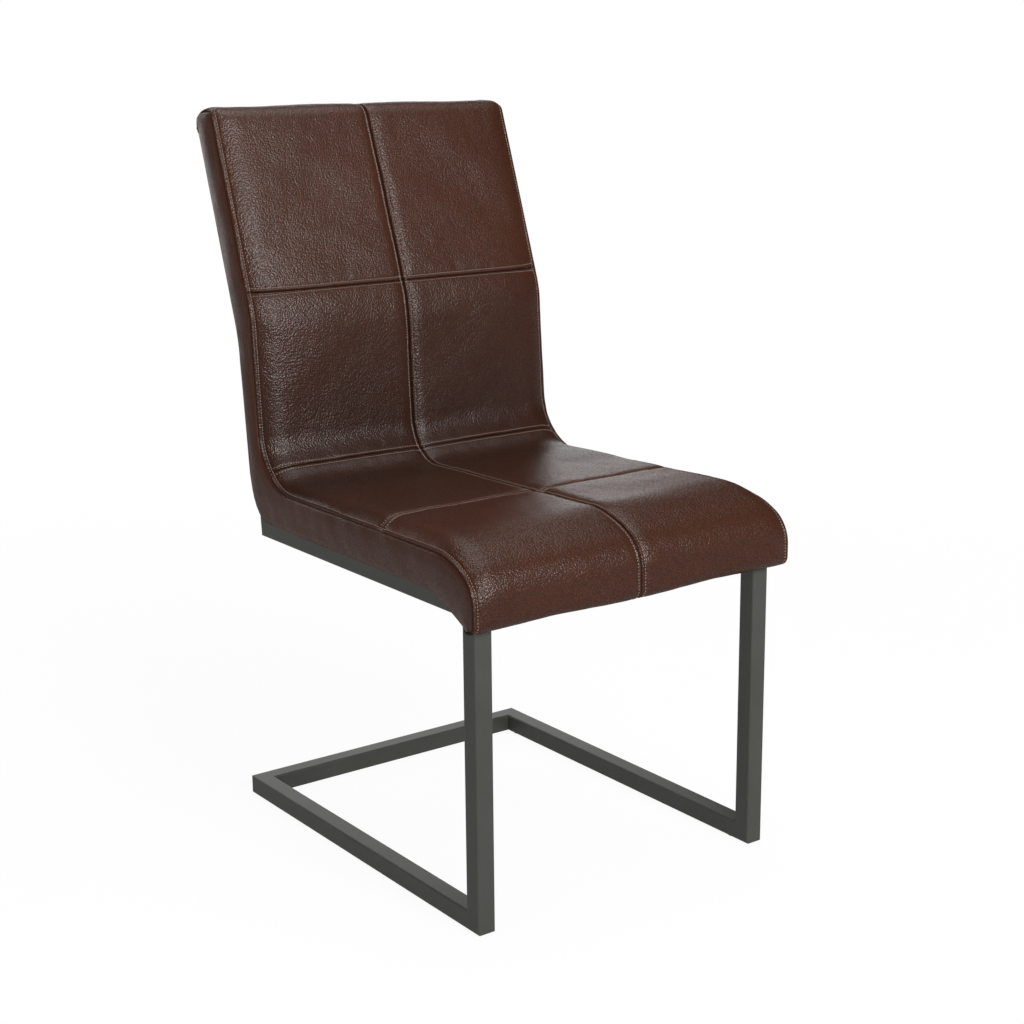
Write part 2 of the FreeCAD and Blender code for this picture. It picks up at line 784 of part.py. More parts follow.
def main():
    os.makedirs("parts", exist_ok=True)
    pieces = chair()
    boxes = [shape.optimalBoundingBox(False, False) for shape in pieces.values()]
    middle_y = (min(box.YMin for box in boxes) + max(box.YMax for box in boxes)) / 2
    for name, shape in pieces.items():
        shape.translate(vector(0, -middle_y, 0))
        shape.exportStep("parts/" + name + ".step")
        print(name, shape.isValid(), len(shape.Solids), round(shape.Volume / 1000, 1))
    print("middle", round(middle_y, 3))


main()
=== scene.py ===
import math

import bmesh
import bpy
import numpy as np
from mathutils import Matrix, Vector


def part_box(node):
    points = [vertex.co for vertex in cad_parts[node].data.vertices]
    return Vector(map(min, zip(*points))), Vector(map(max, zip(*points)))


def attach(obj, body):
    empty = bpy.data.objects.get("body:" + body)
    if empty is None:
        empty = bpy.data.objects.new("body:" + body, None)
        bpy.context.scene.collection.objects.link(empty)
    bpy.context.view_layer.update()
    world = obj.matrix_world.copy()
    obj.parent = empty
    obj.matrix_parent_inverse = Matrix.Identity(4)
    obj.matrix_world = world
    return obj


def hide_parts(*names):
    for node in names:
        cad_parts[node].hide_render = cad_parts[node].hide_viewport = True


bl_info = {
    "name": "Cantilever Dining Chair",
    "version": (1, 0, 0),
    "blender": (4, 5, 0),
    "location": "View3D > Sidebar > Chair",
    "description": "Builds the leather, stitching and finishes of a cantilever dining chair",
    "category": "Object",
}

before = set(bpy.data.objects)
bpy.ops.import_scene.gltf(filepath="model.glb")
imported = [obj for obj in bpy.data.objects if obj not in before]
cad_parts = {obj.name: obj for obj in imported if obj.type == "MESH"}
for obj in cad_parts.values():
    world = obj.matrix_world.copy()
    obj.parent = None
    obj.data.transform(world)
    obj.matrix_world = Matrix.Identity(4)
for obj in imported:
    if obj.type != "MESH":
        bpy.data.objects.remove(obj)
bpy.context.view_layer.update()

# The drawing's y = 0 is the front face of the legs, in millimetres.
FRONT_FACE_Y = 1000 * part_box("front_leg_left")[0][1]
FRAME_WIDTH = 2000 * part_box("front_leg_left")[1][0]

# Seat and back profile in millimetres, as in the part's source. At the top of the back the
# side seam sits 8 mm higher here, and the padding rises 8 mm less above it.
HALF_TUBE = 12.5
TUBE_SIDE = 25.0
RAIL_Z = 404.5
RAIL_TOP = 417.0
POST_FOOT = (486.5, RAIL_Z)
POST_LOWER_LEAN = 5.5
POST_UPPER_LEAN = 18.5
POST_BEND_HEIGHT = 660.0
POST_TOP_HEIGHT = 900.0
NOSE_HALF_WIDTH = 246.0
REAR_HALF_WIDTH = 235.5
NOSE_OVERHANG = 20.5
NOSE_CROWN = 3.0
NOSE_TOP_Y = 30.0
FRONT_HEM_DROP = 35.0
FRONT_RETURN = 17.0
SIDE_HEM_DROP = 4.0
SEAT_SIDE_FRONT = 49.5
SEAT_SIDE_REAR = 46.5
SEAT_CROWN_FRONT = 19.0
SEAT_CROWN_REAR = 12.5
SEAT_SEAM_Y = 184.0
SEAT_CORNER_Y = 434.0
BACK_STEP = 47.0
CROWN_STEP = 35.0
TOP_RISE = 49.0
TOP_CROWN = 6.0
TOP_CROWN_FORWARD = 9.3
TOP_CORNER = 7.0
TOP_EDGE_WIDTH = 13.0
TOP_FORWARD = 11.8
TOP_REAR = 29.2
REAR_SPACE = 0.6
LEATHER = 2.5
BAND_WIDTH = 6.5
BAND_SHARE = 0.15
SWELL_WIDTH = 32.0
LUMBAR_EDGE_WIDTH = 110.0
MIDDLE_SEAM_DRAW = 0.2
MIDDLE_SEAM_WIDTH = 14.0
LOW_CORNER_DRAW = 3.0
NOISE_WAVES = 14


def color_property(name, description, default):
    return bpy.props.FloatVectorProperty(name=name, description=description, subtype="COLOR",
                                         size=3, min=0, max=1, default=default)


def length_property(name, description, default, low, high):
    return bpy.props.FloatProperty(name=name, description=description, unit="LENGTH",
                                   default=default, min=low, max=high)


class LeatherSettings(bpy.types.PropertyGroup):
    color: color_property("Leather colour", "Colour of the leather between its pores",
                          (0.058, 0.0174, 0.0070))
    # The pore colour is also used as painted shade in the seam grooves and pressed stitch rows.
    pore_and_seam_shade_color: color_property("Pore colour", "Colour down in the grain and along the seams",
                               (0.016, 0.0045, 0.0024))
    grain_size: length_property("Grain size", "Width of a pebble of the grain",
                                0.0024, 0.0005, 0.02)
    topstitch_inset: length_property("Topstitch inset", "Distance of the topstitch from "
                                     "the side seam", 0.0066, 0.003, 0.02)
    seam_stitch_inset: length_property("Cross seam stitch inset", "Distance of a stitch row "
                                       "from a cross seam", 0.0052, 0.002, 0.01)


class StitchSettings(bpy.types.PropertyGroup):
    # The thread's own colour, made lighter as a painted highlight so that the stitches show as
    # light dots.
    color: color_property("Thread colour", "Colour of the sewing thread", (0.31, 0.21, 0.16))
    pitch: length_property("Stitch pitch", "Distance from one stitch to the next",
                           0.0039, 0.002, 0.01)
    length: length_property("Stitch length", "Length of thread seen in one stitch",
                            0.0026, 0.001, 0.008)
    thickness: length_property("Thread thickness", "Thickness of the thread",
                               0.0011, 0.0002, 0.002)


class FrameSettings(bpy.types.PropertyGroup):
    color: color_property("Frame colour", "Colour of the powder coat", (0.057, 0.059, 0.051))
    roughness: bpy.props.FloatProperty(
        name="Frame roughness", description="Roughness of the powder coat",
        default=0.42, min=0.05, max=1)


# Profile geometry: each corner of a path is (y, z, radius)

def heading(start, end):
    return math.atan2(end[1] - start[1], end[0] - start[0])


def turn_between(first, second):
    return (second - first + math.pi) % (2 * math.pi) - math.pi


def shifted(path, distance):
    """An open path moved to its left by a distance, with its radii kept concentric."""
    moved = []
    for i, (y, z, radius) in enumerate(path):
        out = heading(path[i], path[i + 1]) if i + 1 < len(path) else heading(path[i - 1], path[i])
        into = heading(path[i - 1], path[i]) if i else out
        turn = turn_between(into, out)
        step = distance / math.cos(turn / 2)
        kept = radius - distance * math.copysign(1, turn) if radius else 0
        middle = into + turn / 2
        moved.append((y - step * math.sin(middle), z + step * math.cos(middle), kept))
    return moved


def leaning(start, lean, height):
    """Point at a height on the line that leans back from a start point."""
    return start[0] + (height - start[1]) * math.tan(math.radians(lean)), height


POST_BEND = leaning(POST_FOOT, POST_LOWER_LEAN, POST_BEND_HEIGHT)
POST_TOP = leaning(POST_BEND, POST_UPPER_LEAN, POST_TOP_HEIGHT)


def between(start, end, height):
    """Plain corner on the line between two points, at a height above the first."""
    share = height / (end[1] - start[1])
    return start[0] + share * (end[0] - start[0]), start[1] + height, 0


def rear_path():
    """Rear face of the back, from the panel seam at the top down to the hem's height."""
    posts = [(*POST_FOOT, 0), (*POST_BEND, 220.0), (*POST_TOP, 0)]
    foot, bend, top = shifted(posts, -(HALF_TUBE + REAR_SPACE + LEATHER))

    def at(height, start, end):
        return between(start, end, height - start[1])
    return [at(POST_TOP_HEIGHT + TOP_RISE - 27.0, bend, top), bend,
            at(RAIL_TOP - SIDE_HEM_DROP, foot, bend)]


def seat_height(y, front, rear):
    share = (y - NOSE_TOP_Y) / (SEAT_CORNER_Y - NOSE_TOP_Y)
    return RAIL_TOP + front + share * (rear - front)


def side_seam_corners():
    """Corners of the seam between the side panels and the seat and back panels."""
    corner_z = RAIL_TOP + SEAT_SIDE_REAR
    lumbar = (POST_BEND[0] - 20.0, POST_BEND[1] + 30.0, 150.0)
    top = (POST_TOP[0] - TOP_FORWARD, POST_TOP[1] + TOP_RISE, 15.0)
    return [
        (FRONT_RETURN - NOSE_OVERHANG, RAIL_TOP - FRONT_HEM_DROP, 0),
        (-NOSE_OVERHANG, RAIL_TOP - FRONT_HEM_DROP, 12.0),
        (-NOSE_OVERHANG, RAIL_TOP + SEAT_SIDE_FRONT - 30.0, 46.0),
        (NOSE_TOP_Y, RAIL_TOP + SEAT_SIDE_FRONT, 110.0),
        (SEAT_SEAM_Y, seat_height(SEAT_SEAM_Y, SEAT_SIDE_FRONT, SEAT_SIDE_REAR), 0),
        (SEAT_CORNER_Y, corner_z, 74.0),
        (SEAT_CORNER_Y + BACK_STEP / 2, corner_z + BACK_STEP / 2, 0),
        (SEAT_CORNER_Y + BACK_STEP, corner_z + BACK_STEP, 74.0),
        lumbar,
        between(lumbar, top, 30.0),
        top,
        (POST_TOP[0] + TOP_REAR, top[1], 12.0),
        rear_path()[0],
    ]


def crown_corners():
    """Corners of the profile where the padding is fullest."""
    seam = side_seam_corners()
    front, rear = SEAT_SIDE_FRONT + SEAT_CROWN_FRONT, SEAT_SIDE_REAR + SEAT_CROWN_REAR
    corner_y, corner_z = SEAT_CORNER_Y - SEAT_CROWN_REAR / 4, RAIL_TOP + rear
    lumbar = (seam[8][0] - 17.5, seam[8][1], 170.0)
    top = (seam[10][0] - TOP_CROWN_FORWARD, seam[10][1] + TOP_CROWN, 27.0)
    lean = (seam[11][0] - seam[12][0]) / (seam[11][1] - seam[12][1])
    return [
        seam[0],
        (-NOSE_OVERHANG - NOSE_CROWN, seam[0][1], 16.0),
        (-NOSE_OVERHANG - NOSE_CROWN, RAIL_TOP + front - 37.0, 48.0),
        (NOSE_TOP_Y + SEAT_CROWN_FRONT / 2, RAIL_TOP + front, 150.0),
        (SEAT_SEAM_Y, seat_height(SEAT_SEAM_Y, front, rear), 0),
        (corner_y, corner_z, 54.0),
        (corner_y + CROWN_STEP / 2, corner_z + CROWN_STEP / 2, 0),
        (corner_y + CROWN_STEP, corner_z + CROWN_STEP, 54.0),
        lumbar,
        between(lumbar, top, 30.0),
        top,
        (seam[11][0] + lean * TOP_CROWN, top[1], 18.0),
        seam[12],
    ]


def edge_share(inset):
    """Share of the crown at a distance in from the side seam: a sewn band, then the swell."""
    if inset < BAND_WIDTH:
        return BAND_SHARE * (1 - (1 - inset / BAND_WIDTH) ** 2)
    rest = max(0.0, 1 - (inset - BAND_WIDTH) / SWELL_WIDTH)
    return BAND_SHARE + (1 - BAND_SHARE) * (1 - rest ** 2.2)


def soft_share(inset):
    """Share of the crown at the lumbar bend, where the swell runs on as a wide soft bow."""
    rest = max(0.0, 1 - inset / LUMBAR_EDGE_WIDTH)
    return 0.5 * edge_share(inset) + 0.5 * (1 - rest * rest)


def middle_draw(x):
    """Share of the crown that is left at a distance from the middle seam."""
    return 1 - MIDDLE_SEAM_DRAW * math.exp(-(x / (MIDDLE_SEAM_WIDTH * 0.62)) ** 1.5)


SEAM_CORNERS = side_seam_corners()
CROWN_CORNERS = crown_corners()


def station_corners(inset, draw):
    """Corners of the profile at a place across the cushion."""
    path = []
    for i, (seam, full) in enumerate(zip(SEAM_CORNERS, CROWN_CORNERS)):
        share = draw * (soft_share(inset) if i in (8, 9) else edge_share(inset))
        y, z, radius = (a + share * (b - a) for a, b in zip(seam, full))
        if i in (10, 11):
            z = seam[1] + draw * (1 - max(0.0, 1 - inset / TOP_EDGE_WIDTH) ** 2) * TOP_CROWN
        path.append((y, z, radius))
    return path


def dense_line(path, arc_points=40):
    """Points along a path with rounded corners, the same number for any path of its kind."""
    points = []
    for i, (y, z, radius) in enumerate(path):
        if i in (0, len(path) - 1) or radius <= 0:
            points.append((y, z))
            continue
        into, out = heading(path[i - 1], path[i]), heading(path[i], path[i + 1])
        turn = turn_between(into, out)
        reach = radius * math.tan(abs(turn) / 2)
        start = (y - reach * math.cos(into), z - reach * math.sin(into))
        side = into + math.copysign(math.pi / 2, turn)
        centre = (start[0] + radius * math.cos(side), start[1] + radius * math.sin(side))
        for k in range(arc_points + 1):
            angle = side + math.pi + turn * k / arc_points
            points.append((centre[0] + radius * math.cos(angle),
                           centre[1] + radius * math.sin(angle)))
    return np.array(points)


def lengths_along(line):
    steps = np.hypot(*np.diff(line, axis=0).T)
    return np.concatenate([[0.0], np.cumsum(steps)])


SEAM_LINE = dense_line(SEAM_CORNERS)
SEAM_LENGTHS = lengths_along(SEAM_LINE)


def length_near(line, lengths, point):
    """Length along a line at its point nearest to a given one."""
    return float(lengths[np.argmin(np.hypot(*(line - np.array(point)).T))])


def points_at(wanted, line, lengths):
    """y and z at wanted lengths along a line."""
    return [np.interp(wanted, lengths, line[:, k]) for k in (0, 1)]


CROSS_SEAMS = [length_near(SEAM_LINE, SEAM_LENGTHS, SEAM_CORNERS[corner][:2])
               for corner in (0, 4, 6, 9, 12)]


def rise(value, low, high):
    """Number that goes from 0 to 1 as a value goes from low to high, which may be below."""
    return np.clip((value - low) / (high - low), 0, 1)


def bell(distance, height, width):
    """Smooth hump with a height and a width, at a distance from its middle."""
    return height * np.exp(-(distance / width) ** 2)


def unit(vectors):
    return vectors / np.maximum(np.linalg.norm(vectors, axis=-1, keepdims=True), 1e-9)


def half_width(y):
    """Half of the cushion's width, which narrows evenly from the nose to the rear."""
    share = (y + NOSE_OVERHANG) / (POST_TOP[0] + TOP_REAR + NOSE_OVERHANG)
    return NOSE_HALF_WIDTH + share * (REAR_HALF_WIDTH - NOSE_HALF_WIDTH)


def rounded(height, share):
    """Drop of a quarter round at a share of the way to its edge."""
    return height * (1 - np.sqrt(1 - share ** 2))


def top_draw(z):
    """How far the sides draw in at a height, round the top corners of the back."""
    above = (np.asarray(z) - POST_TOP_HEIGHT - TOP_RISE) / TOP_CORNER + 1
    return rounded(TOP_CORNER, np.clip(above, 0, 1))


def low_draw(y, z):
    """How far the leather draws in to the frame at the lower rear corner of its side."""
    return LOW_CORNER_DRAW * rise(z, 478.0, 433.0) * rise(y, 395.0, 465.0)


def graded(length, near, step):
    """Distances from 0 to a length, close together at both ends."""
    inner = np.linspace(near[-1], length - near[-1],
                        max(2, int(round((length - 2 * near[-1]) / step)) + 1))
    ends = np.array(near[:-1])
    return np.concatenate([ends, inner, length - ends[::-1]])


def smooth_noise(points, size, seed):
    """Soft noise between about -1 and 1 at points in millimetres, from summed waves."""
    rng = np.random.default_rng(seed)
    total = np.zeros(points.shape[:-1])
    for _ in range(NOISE_WAVES):
        direction = rng.normal(size=3)
        direction /= np.linalg.norm(direction)
        wavelength = size * rng.uniform(0.6, 1.6)
        total += np.sin(points @ direction * 2 * math.pi / wavelength + rng.uniform(0, 6.28))
    return total / math.sqrt(NOISE_WAVES / 2) / 1.6


def to_frame(points):
    """Points of the drawing in millimetres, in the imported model's metres."""
    moved = np.array(points, dtype=float)
    moved[..., 1] += FRONT_FACE_Y
    return moved / 1000


def add_object(name, data):
    made = bpy.data.objects.new(name, data)
    bpy.context.scene.collection.objects.link(made)
    return made


def new_piece(name, vertices, faces, attributes=None):
    """Mesh object at the origin, with its vertices in metres and smooth faces."""
    mesh = bpy.data.meshes.new(name)
    mesh.from_pydata([tuple(v) for v in vertices], [], faces)
    mesh.update()
    for key, values in (attributes or {}).items():
        layer = mesh.attributes.new(key, "FLOAT", "POINT")
        layer.data.foreach_set("value", np.asarray(values, dtype=np.float32))
    mesh.polygons.foreach_set("use_smooth", [True] * len(mesh.polygons))
    return add_object(name, mesh)


def grid_faces(rows, columns, flip=False):
    faces = []
    for r in range(rows - 1):
        for c in range(columns - 1):
            a = r * columns + c
            face = (a, a + 1, a + columns + 1, a + columns)
            faces.append(face[::-1] if flip else face)
    return faces


def leather_sheet(name, grid, side, seam, grain, crease=0.0, hollow=0.0, faces=None):
    """Sheet from a grid of points in millimetres, with the values that its look needs."""
    shape = grid.shape[:2]
    # The last value is a mask of painted shade in the corner between seat and back.
    values = {"seam": seam, "grain": grain, "crease": crease, "hollow": hollow}
    spread = {key: np.broadcast_to(value, shape).reshape(-1) for key, value in values.items()}
    points = to_frame(grid * np.array([side, 1, 1])).reshape(-1, 3)
    return new_piece(name, points, faces or grid_faces(*shape, flip=side < 0), spread)


def point_outwards(piece, outward):
    """Turns a sheet's faces to the side that a function of their place gives."""
    total = sum(face.normal.dot(outward(face.center)) * face.area
                for face in piece.data.polygons)
    if total < 0:
        piece.data.flip_normals()


def finish_piece(piece, material, slot, *nodes):
    """Gives a piece its material, makes it ride, and lets it stand for its CAD nodes."""
    piece.data.materials.clear()
    piece.data.materials.append(material)
    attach(piece, "root")
    if nodes:
        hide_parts(*nodes)


def modify(piece, name, kind, **settings):
    modifier = piece.modifiers.new(name, kind)
    for key, value in settings.items():
        setattr(modifier, key, value)


def thicken(piece, thickness):
    modify(piece, "Thickness", "SOLIDIFY", thickness=thickness, offset=-1, use_rim=True)


def edit_mesh(mesh, change):
    """Makes a change to a mesh through bmesh."""
    shell = bmesh.new()
    shell.from_mesh(mesh)
    change(shell)
    shell.to_mesh(mesh)
    shell.free()


def applied(piece):
    """Replaces a piece's mesh by the mesh that its modifiers make."""
    graph = bpy.context.evaluated_depsgraph_get()
    mesh = bpy.data.meshes.new_from_object(piece.evaluated_get(graph))
    piece.modifiers.clear()
    old = piece.data
    piece.data = mesh
    bpy.data.meshes.remove(old)


# Nodes: number sockets combine with + - * and give Math nodes

class Field:
    """A node socket that can be used in Python expressions."""

    def __init__(self, nodes, socket):
        self.nodes = nodes
        self.socket = socket

    def _math(self, operation, first, second):
        return self.nodes.number("ShaderNodeMath", {0: first, 1: second}, operation=operation)

    def __add__(self, other):
        return self._math("ADD", self, other)

    __radd__ = __add__

    def __mul__(self, other):
        return self._math("MULTIPLY", self, other)

    __rmul__ = __mul__

    def __sub__(self, other):
        return self._math("SUBTRACT", self, other)

    def __rsub__(self, other):
        return self._math("SUBTRACT", other, self)


class Nodes:
    """A node tree whose nodes are added by one method."""

    def __init__(self, tree):
        self.tree = tree
        tree.nodes.clear()

    def node(self, kind, inputs=None, **settings):
        made = self.tree.nodes.new(kind)
        for key, value in settings.items():
            setattr(made, key, value)
        for key, value in (inputs or {}).items():
            socket = made.inputs[key]
            if isinstance(value, Field):
                self.tree.links.new(value.socket, socket)
            elif hasattr(socket.default_value, "__len__"):
                size = len(socket.default_value)
                socket.default_value = (tuple(value) + (1.0,))[:size]
            else:
                socket.default_value = value
        return made

    def number(self, kind, inputs=None, output=0, **settings):
        return Field(self, self.node(kind, inputs, **settings).outputs[output])

    def outputs(self, kind, *names):
        """Several outputs of one node."""
        made = self.node(kind)
        return [Field(self, made.outputs[name]) for name in names]

    def blend(self, factor, first, second):
        """Surface between two surfaces."""
        return self.number("ShaderNodeMixShader", {0: factor, 1: first, 2: second})


class Shader(Nodes):
    """A material's nodes."""

    def __init__(self, name):
        self.material = bpy.data.materials.new(name)
        self.material.use_nodes = True
        super().__init__(self.material.node_tree)

    def place(self, scale=(1, 1, 1)):
        """Object coordinates, stretched by a scale."""
        coordinates = self.number("ShaderNodeTexCoord", output="Object")
        if scale == (1, 1, 1):
            return coordinates
        return self.number("ShaderNodeMapping", {"Vector": coordinates, "Scale": scale})

    def noise(self, scale, detail=2.0, roughness=0.5, vector=None, output="Fac"):
        return self.number("ShaderNodeTexNoise",
                           {"Vector": vector or self.place(), "Scale": scale,
                            "Detail": detail, "Roughness": roughness}, output)

    def cells(self, scale, feature="F1", vector=None):
        inputs = {"Vector": vector or self.place(), "Scale": scale}
        if feature == "SMOOTH_F1":
            inputs["Smoothness"] = 0.3
        return self.number("ShaderNodeTexVoronoi", inputs, "Distance", feature=feature)

    def ramp(self, value, low, high):
        """Number that goes from 0 to 1 as a value goes from low to high."""
        return self.number("ShaderNodeMapRange",
                           {"Value": value, "From Min": low, "From Max": high})

    def mix(self, factor, first, second):
        """Colour between two colours."""
        return self.number("ShaderNodeMix", {0: factor, 6: first, 7: second}, 2,
                           data_type="RGBA")

    def attribute(self, name):
        return self.number("ShaderNodeAttribute", output="Fac", attribute_name=name)

    def bump(self, height, strength, distance, normal=None):
        inputs = {"Height": height, "Strength": strength, "Distance": distance}
        if normal:
            inputs["Normal"] = normal
        return self.number("ShaderNodeBump", inputs)

    def output(self, surface):
        self.node("ShaderNodeOutputMaterial", {"Surface": surface})
        return self.material

    def surface(self, inputs):
        return self.output(self.number("ShaderNodeBsdfPrincipled", inputs))


def toned(color, factor):
    return tuple(min(1, channel * factor) for channel in color)


def leather_material(settings):
    """Semi gloss leather with a pebble grain, darker in its pores, with painted shade along its
    seams and in the corner between seat and back.
    """
    shader = Shader("dark brown leather")
    scale = 1 / settings.grain_size
    warp = shader.noise(scale * 0.35, output="Color")
    place = shader.number("ShaderNodeMix", {0: 0.0024, 4: shader.place(), 5: warp}, 1,
                          data_type="VECTOR")
    pebbles = shader.cells(scale, "SMOOTH_F1", place)
    edges = shader.ramp(pebbles, 0.3, 0.62)
    folds = shader.noise(scale * 0.85, 2.0, 0.5, shader.place((0.22, 1.0, 1.0)))
    patches = shader.noise(7.0)
    seam, grain, crease, hollow = (shader.attribute(name) for name in
                                   ("seam", "grain", "crease", "hollow"))
    # Painted shade: the seam mask darkens the seam grooves and the pressed stitch rows, and
    # roughens them.
    sewn = shader.ramp(seam, 0.45, 1.0)
    # Painted shade: darker in the corner between seat and back, mixed with random darker patches
    # of the leather's own tone.
    tone = shader.mix(shader.ramp(patches * 0.5 + hollow * 0.75, 0.0, 1.0), settings.color,
                      toned(settings.color, 0.42))
    tone = shader.mix(edges * grain * 0.5, tone, settings.pore_and_seam_shade_color)
    tone = shader.mix(sewn, tone, settings.pore_and_seam_shade_color)
    roughness = 0.25 + edges * 0.14 + shader.noise(60.0, 3.0, 0.6) * 0.06 + sewn * 0.4
    height = (1 - pebbles) * grain + folds * crease * 1.2
    soft = shader.bump(shader.noise(30.0), 0.25, 0.0022)
    normal = shader.bump(height, 0.6, 0.001, soft)
    return shader.surface({"Base Color": tone, "Roughness": roughness, "Normal": normal,
                           "Specular IOR Level": 0.34})


def thread_material(settings):
    """Twisted sewing thread."""
    shader = Shader("sewing thread")
    twist = shader.noise(2600.0, 1.0)
    tone = shader.mix(twist, settings.color, toned(settings.color, 0.6))
    normal = shader.bump(twist, 0.4, 0.0002)
    return shader.surface({"Base Color": tone, "Roughness": 0.4, "Normal": normal})


def powder_coat_material(settings):
    """Satin powder coat with a fine orange peel, a little dust and rubbed spots."""
    shader = Shader("graphite powder coat")
    peel = shader.noise(900.0)
    patches = shader.noise(9.0, 3.0, 0.6)
    tone = shader.mix(patches, toned(settings.color, 0.85), toned(settings.color, 1.18))
    speckle = shader.ramp(shader.noise(2400.0, 1.0), 0.62, 0.72)
    tone = shader.mix(speckle * 0.25, tone, toned(settings.color, 2.2))
    roughness = settings.roughness + (patches - 0.5) * 0.12
    normal = shader.bump(peel, 0.18, 0.0004)
    return shader.surface({"Base Color": tone, "Roughness": roughness, "Normal": normal,
                           "Metallic": 0.25})


def plywood_material():
    """Plain plywood: long grain, pores and a few darker streaks."""
    shader = Shader("birch plywood")
    grain = shader.noise(60.0, 5.0, 0.6, shader.place((1.0, 0.08, 1.0)))
    streaks = shader.noise(9.0, 3.0, 0.5, shader.place((1.0, 0.05, 1.0)))
    pores = shader.ramp(shader.noise(900.0, 1.0, 0.5, shader.place((1.0, 0.05, 1.0))), 0.6, 0.75)
    tone = shader.mix(grain, (0.52, 0.36, 0.2), (0.66, 0.49, 0.31))
    tone = shader.mix(shader.ramp(streaks, 0.5, 0.8) * 0.5, tone, (0.4, 0.25, 0.13))
    tone = shader.mix(pores * 0.4, tone, (0.3, 0.18, 0.1))
    normal = shader.bump(grain, 0.2, 0.0005)
    return shader.surface({"Base Color": tone, "Roughness": 0.6 + grain * 0.15,
                           "Normal": normal})


def plain_material(name, pattern, colors, bump, roughness, metallic=0.0):
    """Material of two colours mixed by a pattern, which also roughens and bumps it."""
    shader = Shader(name)
    field = pattern(shader)
    low, spread = roughness
    return shader.surface({"Base Color": shader.mix(field, *colors),
                           "Roughness": low + field * spread if spread else low,
                           "Metallic": metallic, "Normal": shader.bump(field, *bump)})


def foam_material():
    """Open cell foam."""
    return plain_material("cushion foam", lambda shader: shader.cells(900.0),
                          ((0.78, 0.68, 0.46), (0.6, 0.5, 0.32)), (0.5, 0.0008), (0.95, 0))


def dust_cloth_material():
    """Thin black non-woven cloth with an embossed point pattern."""
    shader = Shader("black dust cloth")
    points = shader.ramp(shader.cells(420.0), 0.25, 0.45)
    fibres = shader.noise(700.0, 4.0, 0.7)
    tone = shader.mix(fibres, (0.012, 0.012, 0.013), (0.04, 0.04, 0.042))
    normal = shader.bump(points * 0.6 + fibres * 0.4, 0.5, 0.0005)
    return shader.surface({"Base Color": tone, "Roughness": 0.9, "Normal": normal,
                           "Sheen Weight": 0.3})


def plated_steel_material():
    """Zinc plated steel with turned marks."""
    return plain_material("zinc plated steel",
                          lambda shader: shader.noise(500.0, 3.0, 0.6, shader.place((1, 1, 0.2))),
                          ((0.5, 0.5, 0.48), (0.68, 0.67, 0.62)), (0.15, 0.0002),
                          (0.32, 0.15), metallic=1.0)


def glide_material():
    """Black polyethylene, scuffed on its underside."""
    return plain_material("glide plastic", lambda shader: shader.noise(220.0, 5.0, 0.7),
                          ((0.014, 0.014, 0.014), (0.045, 0.045, 0.044)), (0.25, 0.0003),
                          (0.45, 0.3))


MADE = {}


def material_once(key, make, *settings):
    if key not in MADE:
        MADE[key] = make(*settings)
    return MADE[key]


# Cushion surface, in millimetres

STITCH_ROWS = {}
STITCH_LIFT = 0.42
FOLD_DEPTH = 2.2
SEAM_GAP = 0.3
PUCKER_REACH = 16.0
FAR_AWAY = 1e6
# Heights and widths of the relief beside a seam, and the ridge's share of the stitch inset
GROOVE, RIDGE, VALLEY, DIMPLE = (2.0, 0.9), (0.9, 1.5), (1.3, 9.0), (0.75, 0.95)
SIDE_GROOVE = (1.5, 2.4)
RIDGE_PLACE = 0.52
# The middle seam's relief is a share at the front hem and full further up
HEM_RELIEF = 0.3
HEM_FADE = 110.0
# Hem of the side panel, its bulge, and where it turns in towards the frame below the seat
HEM_FRONT_BEND_Y = 80.0
HEM_FRONT_RADIUS = 66.0
HEM_REAR_RADIUS = 31.0
HEM_STITCH_INSET = 3.0
SIDE_BULGE = 3.4
TURN_IN_Z = 458.0
TURN_IN_BEND = 12.0
TURN_IN_HEIGHT = 47.0
FRAME_CLEARANCE = 3.0
# Sheets, in metres
SHEET_THICKNESS = 0.0012
REAR_SHEET_THICKNESS = 0.0016
CLOTH_THICKNESS = 0.0004
CLOTH_SAG = 0.0011
CLOTH_POINTS = 60
# Distances of the rows and columns beside a seam, and of the columns beside the side seam
NEAR = [0.0, 0.35, 0.8, 1.4, 2.2, 2.9, 3.6, 4.3, 5.2, 6.6, 8.5, 11.0]
EDGE_INSETS = [0.0, 0.35, 0.9, 1.7, 2.7, 3.9, 5.0, 5.8, 6.6, 7.4, 8.4, 10.0, 12.0, 14.5, 17.5,
               21.0, 25.0, 29.5, 34.5, 40.0]
GRID_STEP = 3.0
EDGE_REACH = EDGE_INSETS[-1]


def column_places(width):
    """x of a half cushion's columns, at a row of that half width."""
    edge = np.array(EDGE_INSETS)
    middle_near = np.array(NEAR)[::-1]
    reach = REAR_HALF_WIDTH - EDGE_REACH
    count = int(round((reach - NEAR[-1]) / GRID_STEP))
    across = np.linspace(0, 1, count + 1)[1:-1]
    inner = (1 - across) * (width - EDGE_REACH) + across * NEAR[-1]
    return np.concatenate([width - edge, inner, middle_near])


def seam_relief(distance, stitch):
    """Depth beside a seam: a groove in a wide valley, a ridge and a pressed stitch row."""
    return (bell(distance, *GROOVE) - bell(distance - stitch * RIDGE_PLACE, *RIDGE)
            + bell(distance - stitch, *DIMPLE) + bell(distance, *VALLEY))


